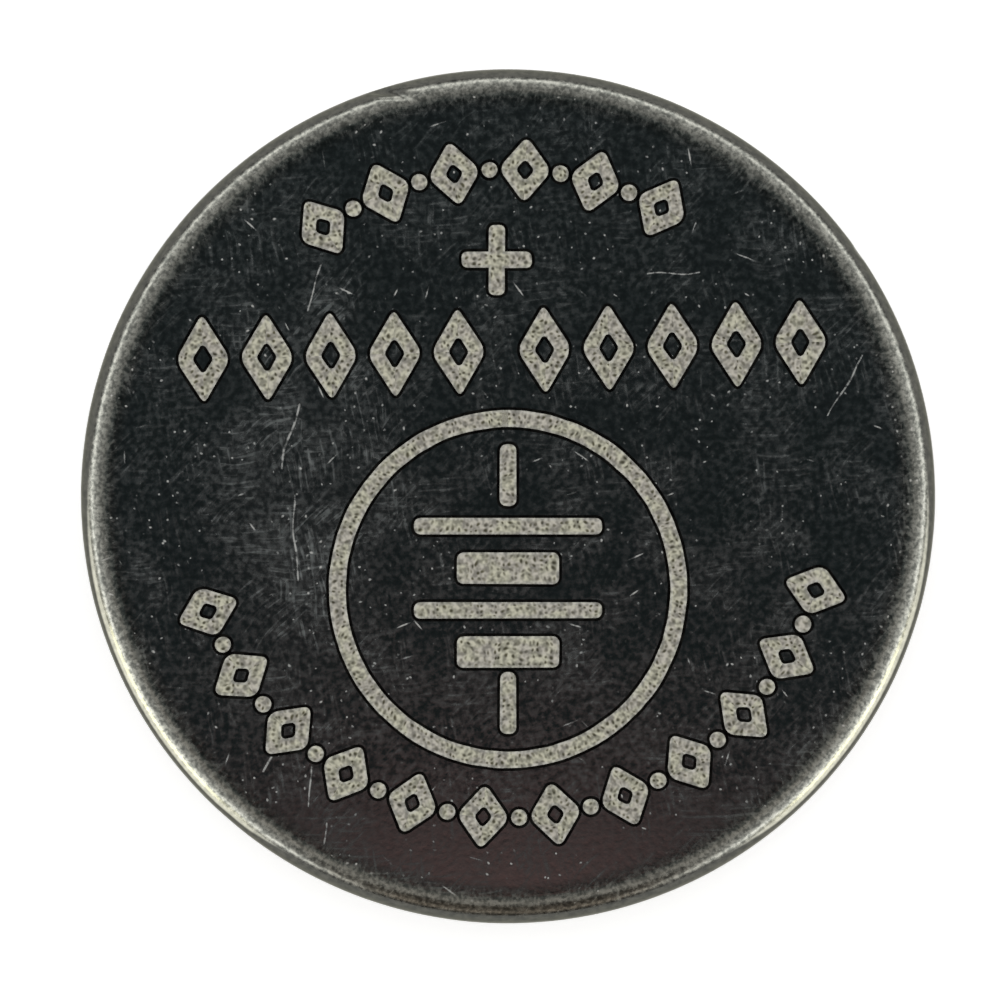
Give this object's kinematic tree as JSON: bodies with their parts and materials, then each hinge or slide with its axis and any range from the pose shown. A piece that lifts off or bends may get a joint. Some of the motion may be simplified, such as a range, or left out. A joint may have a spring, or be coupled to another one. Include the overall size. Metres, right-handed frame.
{
  "type": "lithium coin cell",
  "caption": "Round lithium coin cell: drawn steel positive can crimped over a plastic gasket and a stepped negative cap, with lithium disc, separator, pressed cathode and collector mesh inside.",
  "frame": {"origin": "centre of the negative cap's contact face, on which the cell rests", "axes": "+Z through the cell to the centre of the positive face; +Y is up as the marks on the face read, +X to their right"},
  "size_m": [0.016, 0.016, 0.0032],
  "materials": {
    "can_steel": "bright nickel-plated stainless sheet, worn and finely scratched",
    "cap_steel": "satin nickel-plated stainless sheet",
    "gasket_plastic": "natural milky polypropylene",
    "lithium_foil": "dull soft lithium foil",
    "separator_cloth": "white non-woven cloth",
    "cathode_mass": "pressed black powder",
    "mesh_steel": "bare expanded stainless steel"
  },
  "bodies": {
    "root": {"positive_can": "can_steel", "negative_cap": "cap_steel", "gasket": "gasket_plastic", "lithium_disc": "lithium_foil", "separator": "separator_cloth", "cathode_pellet": "cathode_mass", "collector_mesh": "mesh_steel"}
  },
  "joints": []
}
